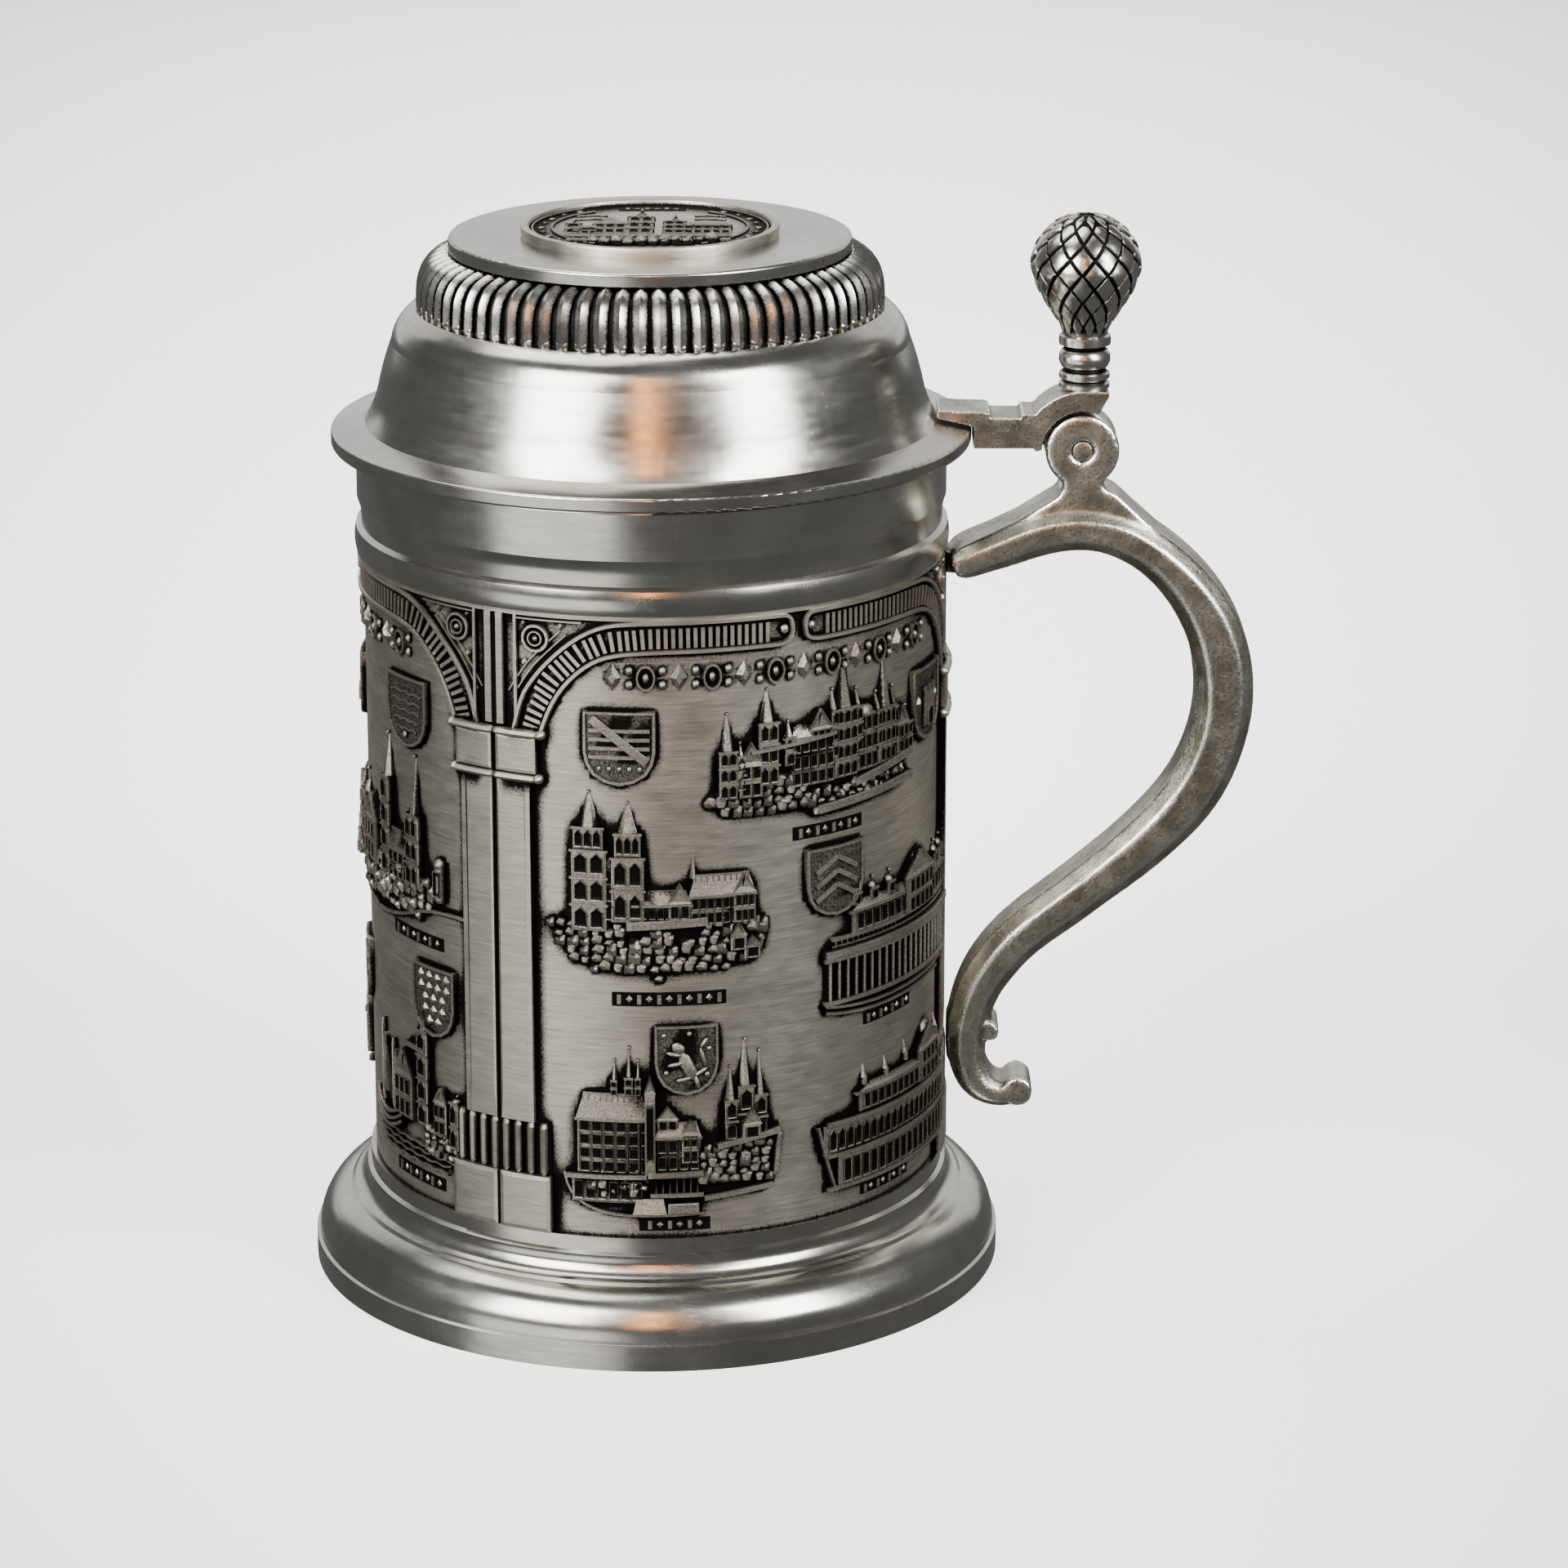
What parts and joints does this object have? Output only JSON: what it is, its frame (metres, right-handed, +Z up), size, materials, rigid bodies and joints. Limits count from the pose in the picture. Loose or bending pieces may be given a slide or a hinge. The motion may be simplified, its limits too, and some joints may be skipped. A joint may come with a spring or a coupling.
{
  "type": "lidded pewter tankard",
  "caption": "Lidded pewter tankard with a cast relief drum, turned foot and lip, scrolled handle and a hinged lid opened by a bulb-shaped thumbpiece.",
  "frame": {"origin": "on the drum's axis, at the plane the foot stands on", "axes": "+Z up along the drum's axis, +X towards the handle, hinge pin along Y"},
  "size_m": [0.1421, 0.1046, 0.1611],
  "materials": {
    "turned_pewter": "turned and satin polished",
    "relief_pewter": "cast relief, dark patina rubbed back on the high parts",
    "cast_pewter": "cast, lightly grained, tumbled",
    "ribbed_pewter": "cast ribs, black in the grooves",
    "steel_pin": "drawn wire"
  },
  "bodies": {
    "vessel": {"foot_ring": "turned_pewter", "base_disc": "turned_pewter", "relief_panel_front": "relief_pewter", "relief_panel_left": "relief_pewter", "relief_panel_back": "relief_pewter", "lip_ring": "turned_pewter", "handle": "cast_pewter", "hinge_pin": "steel_pin"},
    "lid": {"lid_shell": "turned_pewter", "ribbed_band": "ribbed_pewter", "lid_top_disc": "turned_pewter", "medallion": "relief_pewter", "lid_strap": "cast_pewter", "thumbpiece": "ribbed_pewter"}
  },
  "joints": [
    {"name": "lid_hinge", "type": "hinge", "parent": "vessel", "child": "lid", "pos_m": [0.0636, 0, 0.1259], "axis": [0, 1, 0], "range_deg": [0, 100]}
  ]
}
